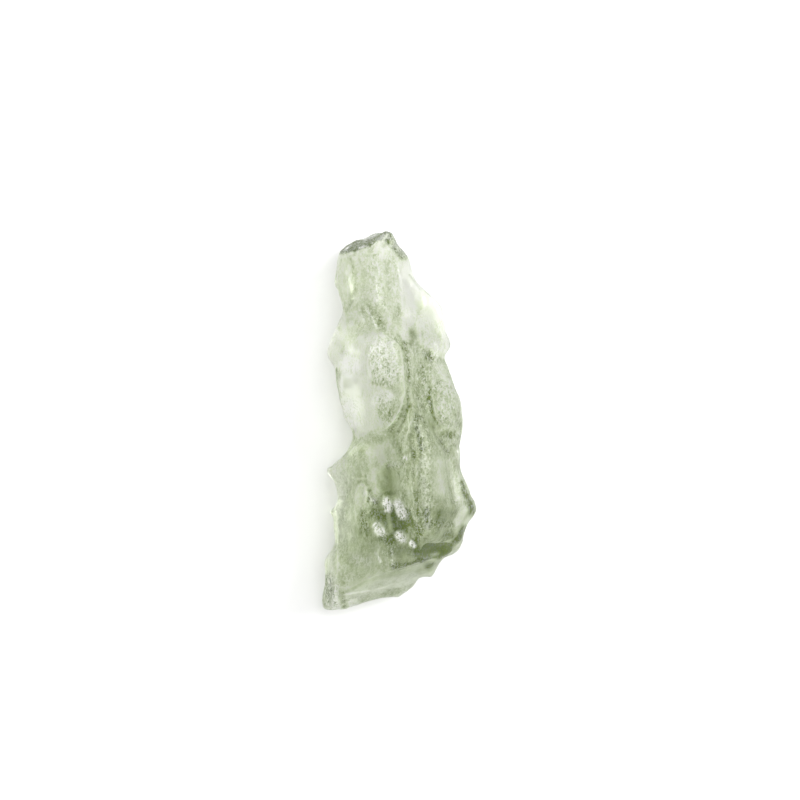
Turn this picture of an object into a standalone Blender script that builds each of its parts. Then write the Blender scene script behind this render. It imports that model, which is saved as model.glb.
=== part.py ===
"""A natural splinter of moldavite, the green glass of a meteorite strike, lying on its flatter side.

One solid stone. +Z is up, +Y runs along the stone towards its narrow broken end, and the origin is under the
middle of its box, on the surface that it rests on. Sizes below are in millimetres.
"""

import math

import bmesh
import bpy
import numpy as np
from mathutils import Vector

MM = 0.001
NODE = "moldavite"

LENGTH = 30.0
GLASS_GREEN = (0.42, 0.55, 0.30, 1.0)
GLASS_ROUGHNESS = 0.25
GLASS_IOR = 1.49

SLAB_THICKNESS = 3.0
BLANK_VOXEL = 0.25
STONE_VOXEL = 0.18
BLANK_PASSES = 2
FACES = 8600
OUTLINE_STEP = 0.25
LINE_STEP = 0.5
NEARNESS = 3.0

# The stone's edge seen from above, clockwise from its top: x, y, and the heights of the edge's foot and brow.
EDGE = (
    (-1.10, 15.00, 1.0, 3.9), (-0.50, 14.30, 1.0, 4.0), (0.05, 13.70, 1.1, 3.9), (0.70, 13.00, 1.2, 3.4),
    (1.00, 12.10, 1.3, 2.6), (1.35, 11.10, 1.4, 2.2), (2.15, 10.30, 1.5, 2.1), (2.90, 9.70, 1.6, 2.1),
    (3.55, 8.70, 1.6, 2.2), (3.70, 7.80, 1.6, 2.3), (4.05, 6.50, 1.6, 2.5), (3.95, 5.60, 1.6, 3.0),
    (3.60, 5.00, 1.5, 3.4), (3.90, 4.05, 1.5, 3.9), (4.45, 2.70, 1.5, 4.3), (4.85, 1.50, 1.5, 4.4),
    (5.00, 0.60, 1.6, 4.4), (5.00, -0.80, 1.6, 4.4), (4.80, -1.50, 1.6, 4.5), (4.75, -2.20, 1.6, 4.6),
    (4.88, -2.90, 1.6, 4.6), (4.75, -3.70, 1.6, 4.5), (5.30, -4.85, 1.8, 4.1), (5.75, -5.90, 2.0, 3.6),
    (6.40, -6.95, 2.2, 3.2), (6.00, -7.40, 2.0, 3.3), (5.40, -8.20, 1.8, 3.8), (5.00, -9.30, 1.6, 3.8),
    (4.50, -10.10, 1.4, 2.8), (3.50, -10.95, 1.2, 2.4), (2.80, -11.80, 1.1, 2.2), (2.30, -12.10, 1.1, 2.2),
    (1.65, -12.20, 1.1, 2.2), (1.20, -13.05, 1.0, 2.0), (0.10, -13.85, 1.0, 1.9), (-1.50, -14.05, 1.0, 1.9),
    (-3.00, -14.40, 1.0, 1.9), (-4.20, -14.90, 1.0, 2.0), (-5.30, -15.00, 1.0, 2.2), (-6.05, -14.85, 1.0, 2.3),
    (-6.22, -14.10, 1.0, 2.3), (-6.10, -12.60, 1.0, 2.3), (-6.00, -10.95, 1.1, 2.3), (-5.35, -10.00, 1.1, 2.5),
    (-5.15, -9.20, 1.2, 2.6), (-5.20, -8.00, 1.3, 2.7), (-5.35, -7.20, 1.4, 2.7), (-5.05, -6.30, 1.4, 2.9),
    (-5.10, -4.90, 1.5, 2.9), (-5.80, -3.95, 1.9, 2.8), (-4.70, -2.90, 1.6, 3.2), (-3.90, -2.05, 1.4, 3.3),
    (-4.00, -0.70, 1.3, 2.4), (-4.55, 0.40, 1.3, 2.5), (-4.85, 1.60, 1.3, 2.8), (-5.10, 3.40, 1.4, 3.0),
    (-5.15, 4.20, 1.5, 2.7), (-5.80, 5.00, 1.8, 2.4), (-5.75, 5.70, 1.8, 2.4), (-5.20, 6.90, 1.5, 2.8),
    (-4.70, 8.40, 1.2, 3.2), (-4.70, 9.30, 1.1, 3.2), (-5.15, 11.30, 1.2, 2.8), (-4.95, 12.10, 1.1, 3.0),
    (-4.85, 13.00, 1.0, 3.4), (-4.65, 13.80, 1.0, 3.7), (-3.00, 14.50, 1.0, 3.8), (-2.00, 14.88, 1.0, 3.9),
)

# The high lines of the front, as x, y, z: the backbone from the broken end down, and the bottom bevel's brow.
BACKBONE = (
    (-1.80, 13.90, 4.9), (-1.80, 11.00, 5.4), (-1.20, 8.00, 5.8), (0.10, 5.00, 6.4), (1.00, 2.00, 6.9),
    (1.80, -1.00, 7.1), (2.00, -4.50, 7.2), (2.10, -8.00, 6.9), (1.90, -9.60, 6.4),
)
BEVEL_BROW = ((3.60, -10.10, 5.0), (1.00, -10.90, 6.1), (-2.00, -11.90, 6.0), (-4.70, -13.40, 4.4))
CROWN_SWELL = 0.75

# The lines of the back: the keel that the stone lies on, and the vaults that leave its wing and lobe thin.
KEEL = (
    (-1.60, 12.50, 1.5), (-1.20, 8.00, 0.7), (-0.70, 4.00, -0.1), (-0.40, 0.00, -0.2), (0.00, -6.00, -0.3),
    (-1.60, -11.50, 0.3),
)
WING_VAULT = ((1.20, 11.00, 1.5), (2.40, 8.60, 2.2), (2.60, 6.40, 2.2))
LOBE_VAULT = ((-4.00, 5.20, 1.9), (-4.00, 2.60, 2.1), (-3.50, 0.30, 1.9))
BELLY_SWELL = 0.80


def resampled(corners, step, closed=False):
    """Points a step apart along straight runs between the corners, with every column carried along."""
    rows = [np.array(corner, float) for corner in corners]
    if closed:
        rows.append(rows[0])
    points = []
    for start, end in zip(rows, rows[1:]):
        pieces = max(1, round(float(np.linalg.norm(end[:2] - start[:2])) / step))
        points += [start + (end - start) * k / pieces for k in range(pieces)]
    if not closed:
        points.append(rows[-1])
    return np.array(points)


def nearest(places, line):
    """For each place, its distance in plan to the line, and the line's other columns weighted by nearness."""
    gaps = np.linalg.norm(places[:, None, :] - line[None, :, :2], axis=2)
    weights = 1.0 / np.maximum(gaps, 0.05) ** NEARNESS
    carried = weights @ line[:, 2:] / weights.sum(axis=1)[:, None]
    return gaps.min(axis=1), carried


def rounded(share):
    """A quarter wave from 0 to 1, level at 1, so that a high line is a rounded crown and no crease."""
    return np.sin(0.5 * math.pi * share)


def share_inward(to_edge, to_line):
    """0 at the edge and 1 on the line."""
    return to_edge / np.maximum(to_edge + to_line, 1e-6)


def swell(points):
    """Moves the slab's points to the main body: edge to high lines above, edge to keel and vaults below."""
    plan = points[:, :2]
    edge = resampled(EDGE, OUTLINE_STEP, closed=True)
    ridge = np.vstack([resampled(BACKBONE, LINE_STEP), resampled(BEVEL_BROW, LINE_STEP)])
    low_lines = np.vstack([resampled(line, LINE_STEP) for line in (KEEL, WING_VAULT, LOBE_VAULT)])
    to_edge, heights = nearest(plan, edge)
    to_ridge, crest = nearest(plan, ridge)
    to_low, depth = nearest(plan, low_lines)
    foot, brow = heights[:, 0], heights[:, 1]
    over = brow + (crest[:, 0] - brow) * rounded(share_inward(to_edge, to_ridge)) ** CROWN_SWELL
    under = foot + (depth[:, 0] - foot) * rounded(share_inward(to_edge, to_low)) ** BELLY_SWELL
    rise = np.clip(points[:, 2] / SLAB_THICKNESS, 0.0, 1.0)
    return np.column_stack([plan, under + (over - under) * rise])


# Breaks: flat fracture faces, as a point on the face and the direction that it faces.
BREAKS = {
    "top break": ((-2.40, 13.80, 4.90), (-0.39, 0.90, 0.20)),
    "top right break": ((-0.30, 13.75, 4.90), (0.70, 0.68, 0.16)),
    "left shoulder": ((-3.85, 11.30, 4.90), (-0.80, 0.05, 0.52)),
    "left bevel": ((-4.95, -11.00, 4.70), (-0.93, 0.00, 0.34)),
    "bottom bevel": ((-0.60, -11.55, 5.90), (0.31, -0.84, 0.45)),
    "under corner": ((5.20, -7.50, 2.20), (0.62, -0.20, -0.76)),
    "rest": ((0.00, 0.00, 0.00), (0.00, 0.00, -1.00)),
}

# Forms etched into the glass. Each is the way it faces, its middle, its half width and half length, its turn
# in degrees, its depth inwards (lobes stand out by a negative depth), and how far it leans to its right.
FRONT, BACK = (0, 0, 1), (0, 0, -1)
LEFT, RIGHT = (-1, 0, 0), (1, 0, 0)
LOBES = (
    (FRONT, (-2.15, 2.95, 0), 2.75, 4.25, 0, -1.35, 0.75),
    (FRONT, (2.25, -4.55, 0), 1.75, 4.90, 8, -0.95, 0.10),
    (FRONT, (3.90, 1.35, 0), 1.10, 2.35, -8, -0.90, 0.00),
    (FRONT, (2.75, 7.40, 0), 1.15, 2.50, -6, -0.60, 0.00),
    (FRONT, (-3.10, -7.20, 0), 0.90, 2.50, 2, -0.60, 0.20),
    (FRONT, (-3.40, -3.60, 0), 0.85, 1.90, 0, -0.55, 0.60),
    (FRONT, (0.95, 0.60, 0), 0.50, 2.60, 8, -0.55, 0.00),
    (FRONT, (4.60, -7.20, 0), 1.00, 1.40, -20, -0.40, 0.00),
)
SCALLOPS = (
    (FRONT, (-1.05, 4.85, 0), 1.35, 2.00, 8, 0.75, 0.00),
    (FRONT, (-0.95, 1.15, 0), 1.25, 1.45, 0, 0.70, 0.00),
    (FRONT, (-3.80, 4.60, 0), 1.10, 1.35, 0, 0.55, 0.00),
    (FRONT, (-3.65, 2.75, 0), 1.20, 0.80, 0, 0.35, 0.00),
    (FRONT, (-3.50, 0.55, 0), 1.20, 1.60, 12, 0.55, 0.00),
    (FRONT, (1.05, 10.10, 0), 0.95, 2.40, 20, 0.80, 0.00),
    (FRONT, (-2.40, 11.40, 0), 1.00, 1.90, 0, 0.30, 0.00),
    (FRONT, (-1.05, 10.60, 0), 0.60, 2.30, 0, 0.25, 0.00),
    (FRONT, (-2.60, 8.20, 0), 0.35, 1.20, 32, 0.40, 0.00),
    (FRONT, (-1.60, 8.00, 0), 0.35, 1.30, 28, 0.40, 0.00),
    (FRONT, (0.60, 7.60, 0), 0.80, 1.60, 8, 0.45, 0.00),
    (FRONT, (2.40, 5.25, 0), 0.55, 0.55, 0, 0.60, 0.00),
    (FRONT, (1.75, 2.60, 0), 0.80, 2.60, 4, 0.60, 0.00),
    (FRONT, (2.90, -0.40, 0), 0.45, 2.10, 20, 0.40, 0.00),
    (FRONT, (-0.90, -4.70, 0), 1.15, 1.60, 0, 0.90, 0.00),
    (FRONT, (-1.75, -2.60, 0), 0.75, 1.20, 0, 0.45, 0.00),
    (FRONT, (-0.20, -1.90, 0), 0.55, 1.20, 12, 0.45, 0.00),
    (FRONT, (-0.40, -7.90, 0), 1.50, 1.70, 10, 0.75, 0.00),
    (FRONT, (-3.20, -11.30, 0), 1.20, 1.50, 0, 0.30, 0.00),
    (FRONT, (4.10, -4.70, 0), 0.60, 1.80, 12, 0.60, 0.00),
    (FRONT, (4.60, -7.60, 0), 0.70, 0.95, -20, 0.40, 0.00),
    (FRONT, (3.00, -10.10, 0), 1.60, 0.75, 12, 0.60, 0.00),
    (BACK, (-3.20, 9.60, 0), 1.50, 2.60, 0, 0.45, 0.00),
    (BACK, (-0.40, 11.60, 0), 1.20, 2.20, 15, 0.40, 0.00),
    (BACK, (1.70, 7.80, 0), 1.40, 2.10, -10, 0.45, 0.00),
    (BACK, (-3.60, 4.40, 0), 1.60, 2.10, 0, 0.50, 0.00),
    (BACK, (-3.30, 0.60, 0), 1.10, 1.90, 0, 0.40, 0.00),
    (BACK, (3.40, 2.60, 0), 1.30, 2.60, 0, 0.45, 0.00),
    (BACK, (3.60, -2.40, 0), 1.20, 2.10, 0, 0.35, 0.00),
    (BACK, (4.10, -6.60, 0), 1.40, 1.80, 20, 0.40, 0.00),
    (BACK, (-3.70, -3.60, 0), 1.30, 2.20, 0, 0.45, 0.00),
    (BACK, (-3.80, -8.30, 0), 1.30, 2.10, 0, 0.40, 0.00),
    (BACK, (1.60, -10.60, 0), 1.90, 1.40, 0, 0.40, 0.00),
    (BACK, (-3.40, -12.60, 0), 1.80, 1.50, 20, 0.35, 0.00),
    ((-0.7, 0, -0.7), (-4.8, 10.60, 1.2), 1.60, 0.90, 90, 0.35, 0.00),
    ((-0.7, 0, -0.7), (-5.0, 2.20, 1.5), 1.90, 1.00, 90, 0.40, 0.00),
    ((-0.7, 0, -0.7), (-5.1, -6.00, 1.5), 1.80, 0.90, 90, 0.40, 0.00),
    ((-0.7, 0, -0.7), (-5.9, -12.20, 1.2), 2.00, 0.90, 90, 0.35, 0.00),
    ((0.7, 0, -0.7), (4.0, 6.90, 1.6), 1.60, 0.90, 90, 0.40, 0.00),
    ((0.7, 0, -0.7), (5.0, -0.60, 1.6), 2.10, 1.10, 90, 0.50, 0.00),
    ((0.4, -0.6, -0.7), (3.0, -11.40, 1.3), 1.60, 0.80, 0, 0.35, 0.00),
    ((0, -0.7, -0.7), (-2.6, -14.20, 1.1), 2.00, 0.80, 0, 0.30, 0.00),
    (LEFT, (0, 8.60, 2.2), 1.60, 1.10, 0, 0.25, 0.00),
    (LEFT, (0, -1.20, 2.0), 1.40, 1.00, 0, 0.30, 0.00),
    (RIGHT, (0, 5.20, 2.3), 1.30, 0.90, 0, 0.30, 0.00),
    (RIGHT, (0, -3.30, 2.6), 1.60, 1.00, 0, 0.20, 0.00),
)


def frame_of(facing, turn):
    """Across, along and out directions of a form that faces one way and is turned about it."""
    out = np.array(facing, float)
    out /= np.linalg.norm(out)
    guide = np.array((0.0, 1.0, 0.0)) if abs(out[1]) < 0.9 else np.array((0.0, 0.0, 1.0))
    across = np.cross(guide, out)
    across /= np.linalg.norm(across)
    along = np.cross(out, across)
    angle = math.radians(turn)
    return (
        math.cos(angle) * across + math.sin(angle) * along,
        math.cos(angle) * along - math.sin(angle) * across,
        out,
    )


def etched(points, normals, forms):
    """Moves the points in by each form's depth. Where forms share a point, the strongest one shapes it."""
    shift = np.zeros_like(points)
    strength = np.zeros(len(points))
    for facing, middle, half_width, half_length, turn, depth, lean in forms:
        across, along, out = frame_of(facing, turn)
        local = points - np.array(middle, float)
        p = local @ across / half_width
        q = local @ along / half_length
        r2 = p * p + q * q
        inside = (r2 < 1.0) & (normals @ out > 0.05)
        profile = (1.0 - r2) if depth > 0 else np.sqrt(np.clip(1.0 - r2, 0.0, 1.0))
        amount = np.where(inside, depth * profile * (1.0 + lean * p), 0.0)
        wins = np.abs(amount) > strength
        shift[wins] = -amount[wins, None] * out
        strength[wins] = np.abs(amount[wins])
    return points + shift


def broken(points):
    """Presses whatever stands beyond a break back onto its face."""
    for place, facing in BREAKS.values():
        out = np.array(facing, float)
        out /= np.linalg.norm(out)
        beyond = np.clip((points - np.array(place)) @ out, 0.0, None)
        points = points - beyond[:, None] * out
    return points


def slab():
    """A flat blank with the stone's outline."""
    mesh = bmesh.new()
    corners = [mesh.verts.new((x, y, 0.0)) for x, y, _, _ in EDGE]
    base = mesh.faces.new(corners)
    raised = bmesh.ops.extrude_face_region(mesh, geom=[base])
    top = [item for item in raised["geom"] if isinstance(item, bmesh.types.BMVert)]
    bmesh.ops.translate(mesh, verts=top, vec=(0.0, 0.0, SLAB_THICKNESS))
    bmesh.ops.recalc_face_normals(mesh, faces=mesh.faces)
    return mesh


def remeshed(mesh, voxel):
    """The same form in even quads, from a Remesh modifier."""
    data = bpy.data.meshes.new("blank")
    mesh.to_mesh(data)
    mesh.free()
    blank = bpy.data.objects.new("blank", data)
    bpy.context.scene.collection.objects.link(blank)
    modifier = blank.modifiers.new("even", "REMESH")
    modifier.mode = "VOXEL"
    modifier.voxel_size = voxel
    bpy.context.view_layer.update()
    graph = bpy.context.evaluated_depsgraph_get()
    even = bmesh.new()
    even.from_mesh(blank.evaluated_get(graph).to_mesh())
    bpy.data.objects.remove(blank)
    return even


def moved(mesh, change, *details):
    """Passes every vertex of the mesh through change, with the vertex normals where it takes details."""
    points = np.array([vertex.co for vertex in mesh.verts])
    if details:
        mesh.normal_update()
        points = change(points, np.array([vertex.normal for vertex in mesh.verts]), *details)
    else:
        points = change(points)
    for vertex, point in zip(mesh.verts, points):
        vertex.co = Vector(point)
    return mesh


def glass():
    material = bpy.data.materials.new("moldavite_glass")
    material.use_nodes = True
    shader = material.node_tree.nodes["Principled BSDF"]
    shader.inputs["Base Color"].default_value = GLASS_GREEN
    shader.inputs["Roughness"].default_value = GLASS_ROUGHNESS
    shader.inputs["IOR"].default_value = GLASS_IOR
    shader.inputs["Transmission Weight"].default_value = 1.0
    return material


def softened(mesh, passes):
    """Rounds every edge a little more with each pass."""
    for _ in range(passes):
        bmesh.ops.smooth_vert(
            mesh, verts=mesh.verts, factor=0.5, use_axis_x=True, use_axis_y=True, use_axis_z=True
        )
    return mesh


def sized(points):
    """Brings the stone to its length and sets the middle of its box over the origin, on the ground."""
    low, high = points.min(axis=0), points.max(axis=0)
    scale = LENGTH / (high[1] - low[1])
    middle = np.array(((low[0] + high[0]) / 2.0, (low[1] + high[1]) / 2.0, low[2]))
    return (points - middle) * scale * MM


def stone():
    mesh = moved(remeshed(slab(), BLANK_VOXEL), swell)
    mesh = softened(remeshed(mesh, BLANK_VOXEL), BLANK_PASSES)
    mesh = moved(mesh, etched, LOBES)
    mesh = remeshed(mesh, STONE_VOXEL)
    mesh = moved(mesh, etched, SCALLOPS)
    mesh = softened(remeshed(mesh, STONE_VOXEL), 1)
    mesh = moved(moved(mesh, broken), sized)
    data = bpy.data.meshes.new(NODE)
    mesh.to_mesh(data)
    mesh.free()
    data.shade_smooth()
    data.materials.append(glass())
    body = bpy.data.objects.new(NODE, data)
    bpy.context.scene.collection.objects.link(body)
    data.calc_loop_triangles()
    modifier = body.modifiers.new("fewer", "DECIMATE")
    modifier.ratio = FACES / len(data.loop_triangles)
    modifier.use_collapse_triangulate = True
    return body


def main():
    for item in list(bpy.data.objects):
        bpy.data.objects.remove(item)
    stone()


main()
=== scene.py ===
"""A moldavite splinter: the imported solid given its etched, scalloped glass skin, lying on a plain pale stage.

Laid out as a Blender add-on and run as a script. Relief is written in millimetres on the solid's own frame:
+Y runs along the stone to its narrow broken end, +Z is up, and the origin is under the middle of its box.
"""

import math

import bmesh
import bpy
import numpy as np
from bpy.props import FloatProperty, FloatVectorProperty, IntProperty, PointerProperty
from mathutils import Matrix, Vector, kdtree


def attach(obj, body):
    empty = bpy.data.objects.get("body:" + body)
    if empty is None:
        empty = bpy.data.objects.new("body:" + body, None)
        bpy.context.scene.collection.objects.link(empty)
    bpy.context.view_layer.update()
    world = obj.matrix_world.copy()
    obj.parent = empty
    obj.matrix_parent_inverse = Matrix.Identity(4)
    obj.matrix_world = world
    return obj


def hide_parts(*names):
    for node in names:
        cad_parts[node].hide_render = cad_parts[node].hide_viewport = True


bl_info = {
    "name": "Moldavite splinter",
    "version": (1, 0, 0),
    "blender": (4, 5, 0),
    "location": "View3D > Sidebar > Moldavite",
    "description": "Dresses a packed moldavite solid with its etched glass skin, and sets a plain stage",
    "category": "Add Mesh",
}

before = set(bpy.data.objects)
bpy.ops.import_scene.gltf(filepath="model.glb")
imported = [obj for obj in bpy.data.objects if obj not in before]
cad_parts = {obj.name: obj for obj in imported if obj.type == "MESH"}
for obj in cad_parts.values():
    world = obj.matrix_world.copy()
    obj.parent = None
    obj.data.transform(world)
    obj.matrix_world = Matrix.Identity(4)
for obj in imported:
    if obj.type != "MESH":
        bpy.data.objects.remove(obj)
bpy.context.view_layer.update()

MM = 0.001
NODE = "moldavite"

# How each layer fades out round the side: the normal's upward part is multiplied by the first number, and the
# second is added.
RELIEF_FADE = (2.0, 0.0)
PIT_FADE = (2.0, 0.6)
PAINT_FADE = (4.0, 1.0)

# The relief: points closer than the merge gap are one, and points move along the normals of a skin smoothed
# by the lay passes. A ledge tapers over a share of its length at each end, and falls back by a power.
MERGE_GAP = 0.0005 * MM
LAY_PASSES = 16
LEDGE_TAPER = 0.22
LEDGE_FALL = 1.5

# The ground that the strokes are laid on, and the depth of the pits where the front isn't frosted at all.
BACK_TONE = 0.0
BACK_FROST = 0.2
FRONT_FROST = 0.42
CLEAR_PITTING = 0.2

# How steep a point is, from 0 to 1: the first number, less the second times the larger of its normal's parts
# upward and towards the broken end. Steep sides keep to the side tone at most, and carry no glints.
STEEP_FROM, STEEP_GAIN = 1.7, 3.4
SIDE_TONE = 0.4

# Hollows are painted darker, as painted shade in grooves and creases, and crests paler, as painted light: a
# share, and the smoothing passes it is measured against.
SHADED_HOLLOWS = ((1.6, 4), (0.7, 24))

# Crushed grains spread a little past each chip's own width, and under them the painted hollow shade and the
# tone count for less.
CHIP_SPREAD = 1.25
CHIP_SOFTNESS = 0.7
CHIP_HOLLOW_LOSS = 0.8
CHIP_TONE_LOSS = 0.5

# Grains and clouds of the etched glass, as a count to the metre, with the streaks' stretch along the stone.
STREAKS = (1.0, 0.6, 1.0)
SPECK_SCALE = 7600.0
FINE_SCALE = 11000.0
CLOUD_SCALE = 900.0
CLOUD_DETAIL = 3.0

# What hollows, clouds and grains do to the glass: hollows add painted shade, and glints are painted white
# highlights that are also made metallic so that they reflect the lamps. The white of frosted grains is partly
# the frost's own white and partly painted sparkle. A pair is a factor and an addition. A range is of the grain
# value, from 0 to 2, and runs from nothing to full. The grit's range also gives its tone at each end.
HOLLOW_SHADE = 3.6
CLOUD_TONE = (0.70, -0.27)
GRIT_RANGE = (0.4, 1.6, 0.42, -0.30)
GRIT_BY_FROST = (1.04, 0.05)
WHITE_RANGE = (1.05, 1.5)
WHITE_SHARE = 0.7
WHITE = (0.98, 0.98, 0.97, 1.0)
GLINT_RANGE = (0.55, 1.2)
GLINT_GAIN = 1.3
GLINT_METAL = 0.85
GRAIN_DEPTH = 0.07 * MM
BUMP_BY_FROST = (0.9, 0.1)

# The stage, in metres: the floor's half width and its drop below the stone, and each softbox's diameter and
# place. A softbox has its power under the same name in the settings.
FLOOR_HALF_WIDTH = 1.5
FLOOR_DROP = 0.02 * MM
FLOOR_ROUGHNESS = 0.9
FLOOR_SPECULAR = 0.2
SOFTBOXES = {
    "overhead": (0.9, (0.25, 0.20, 1.00)),
    "side": (0.8, (0.9, 0.4, 0.5)),
}
SENSOR_MM = 36.0
CLIP_START, CLIP_END = 0.01, 10.0

# Lines of the front, as the places that each runs through in mm from the origin. Rims stand up, and grooves
# and chips are cut, by a half width and a height in mm.
RIMS = {
    "wing ridge": (0.24, 0.12, ((2.0, 9.8), (2.0, 9.1), (1.5, 8.4), (1.45, 7.8), (1.6, 6.8))),
    "upper seam": (0.16, 0.06, ((-0.1, 12.2), (0.1, 11.0), (0.3, 9.0))),
    "beside the rim": (0.14, 0.10, ((0.95, 5.6), (1.05, 4.4), (1.1, 3.2))),
}

# Ledges of the front: one side of each line stands up and falls back over its reach, and the other side is
# left, so that the edge is crisp. Height and reach in mm, then the line, with the raised side on its right.
LEDGES = {
    "lobe": (
        0.40, 1.5,
        ((-2.3, 7.0), (-1.5, 6.95), (-0.81, 6.75), (-0.1, 6.1), (0.3, 5.3), (0.42, 4.4), (0.47, 3.2),
         (0.41, 1.95), (0.1, 0.9), (-0.5, -0.1), (-1.3, -0.75), (-2.2, -1.0)),
    ),
    "lower dome": (
        0.22, 1.3,
        ((-2.5, 0.9), (-2.4, 1.7), (-2.0, 2.25), (-1.4, 2.5), (-0.8, 2.4), (-0.3, 1.8), (-0.1, 1.2)),
    ),
    "upper dome": (0.22, 0.9, ((-2.4, 3.2), (-2.7, 4.3), (-2.65, 5.5), (-2.1, 6.6))),
    "second rim": (
        0.26, 0.6,
        ((0.2, -2.2), (0.37, -1.3), (0.67, -0.35), (0.95, 0.8), (0.92, 1.55), (0.68, 2.6)),
    ),
    "left edge": (
        0.22, 0.5,
        ((-3.9, -1.2), (-4.15, -0.5), (-4.6, 0.4), (-4.85, 1.4), (-5.0, 2.6), (-5.05, 4.0), (-5.0, 6.0)),
    ),
    "cell low": (0.08, 0.7, ((-4.9, 1.6), (-4.0, 2.0), (-2.9, 2.2))),
    "waist": (
        0.20, 0.9,
        ((-5.4, -3.8), (-4.7, -2.9), (-3.8, -2.1), (-3.05, -1.35), (-2.2, -1.2), (-1.6, -1.4)),
    ),
    "left ridge": (0.22, 0.6, ((-5.2, -13.6), (-5.0, -11.5), (-5.0, -7.3), (-5.2, -5.6))),
    "bevel brow": (
        0.22, 0.7,
        ((3.4, -10.63), (1.5, -11.13), (-0.57, -11.79), (-2.56, -12.37), (-4.9, -13.7)),
    ),
    "bevel ridge": (0.18, 0.5, ((0.75, -12.2), (-0.4, -12.8), (-1.4, -13.2), (-3.06, -13.5), (-4.9, -13.8))),
    "finger": (
        0.15, 1.0,
        ((4.3, -9.2), (3.4, -9.47), (2.42, -9.38), (1.75, -8.97), (1.34, -7.9), (1.13, -6.96), (0.71, -4.45),
         (0.5, -2.8)),
    ),
    "cell edge": (0.06, 0.9, ((-2.68, -5.0), (-2.64, -3.6), (-2.7, -1.9))),
    "small finger": (
        0.24, 0.8,
        ((-3.7, -7.0), (-3.6, -5.6), (-3.3, -4.9), (-2.9, -4.75), (-2.6, -5.1), (-2.45, -6.2)),
    ),
    "dark cell": (0.14, 0.7, ((-0.4, -5.9), (-1.2, -5.9), (-1.9, -5.3), (-2.0, -4.4), (-1.8, -3.6))),
    "right lobe": (0.26, 0.9, ((4.2, -0.6), (3.3, -0.2), (2.7, 0.6), (2.4, 2.0), (2.5, 3.2), (3.0, 3.9))),
    "lobe foot": (0.20, 0.6, ((4.8, -0.9), (4.2, -1.7), (3.6, -2.3), (3.1, -1.6))),
    "wing": (0.10, 0.9, ((0.2, 9.0), (0.05, 10.4), (-0.1, 12.2))),
    "outer wing": (0.10, 0.8, ((1.3, 6.4), (1.25, 7.6), (1.7, 8.9), (2.0, 9.8))),
    "streak": (0.20, 0.5, ((4.0, -6.4), (3.7, -4.9), (3.45, -3.2))),
    "column": (0.16, 0.7, ((1.35, -6.8), (1.2, -4.4), (1.2, -2.0), (1.1, -0.2))),
}
GROOVES = {
    "cluster left": (0.12, 0.08, ((-3.1, 8.5), (-2.55, 7.45))),
    "cluster middle": (0.13, 0.12, ((-2.5, 9.05), (-2.1, 8.2), (-1.6, 7.3))),
    "cluster right": (0.12, 0.14, ((-1.4, 9.2), (-1.1, 8.6))),
    "between rims": (0.20, 0.26, ((0.66, 2.6), (0.66, 1.2), (0.36, 0.1), (-0.1, -0.8))),
    "outside the rim": (0.20, 0.20, ((-0.2, 6.9), (0.45, 6.0), (0.66, 4.6), (0.72, 3.2))),
    "scoop divide": (0.55, 0.12, ((-2.0, 3.2), (-1.2, 2.95), (-0.4, 2.4))),
    "right valley": (0.22, 0.18, ((2.6, -0.4), (3.2, -1.7), (3.7, -2.35))),
    "waist": (0.26, 0.14, ((-4.1, -1.6), (-3.2, -0.9), (-2.3, -0.7))),
    "finger nick": (0.16, 0.20, ((-2.35, -5.4), (-2.55, -6.4))),
    "left notch": (0.16, 0.14, ((-4.3, 8.7), (-4.0, 9.2), (-3.76, 9.6))),
    "lobe edge": (0.20, 0.14, ((2.3, 3.2), (2.25, 2.0), (2.5, 0.6), (3.1, -0.4))),
    "break nick left": (0.30, 0.30, ((-3.6, 13.2), (-3.3, 13.8))),
    "break nick middle": (0.34, 0.26, ((-2.3, 13.5), (-2.1, 14.2))),
    "break nick right": (0.28, 0.24, ((-1.3, 13.9), (-0.8, 14.4))),
    "break side": (0.40, 0.10, ((-0.3, 13.9), (0.3, 13.2))),
}
CHIPS = {
    "pit": (0.36, 0.26, ((2.34, 5.3), (2.40, 5.0))),
    "upper left chip": (0.26, 0.16, ((-2.3, -6.0), (-1.9, -6.35))),
    "left chip": (0.42, 0.26, ((-1.05, -6.3), (-0.95, -6.8))),
    "middle chip": (0.45, 0.30, ((-0.15, -6.5), (0.2, -7.3))),
    "low left chip": (0.40, 0.26, ((-1.85, -8.25), (-1.45, -8.75))),
    "low middle chip": (0.40, 0.26, ((-0.05, -8.95), (0.2, -9.25))),
    "low right chip": (0.24, 0.18, ((0.9, -9.5), (1.05, -9.75))),
    "spur nick": (0.20, 0.18, ((0.4, -2.85), (0.44, -2.9))),
}
# The dents that are plain glass. The other chips are full of crushed white grains, whose white is the crushed
# glass's own, with painted sparkle on it.
PLAIN_CHIPS = ("pit", "upper left chip")

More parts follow.
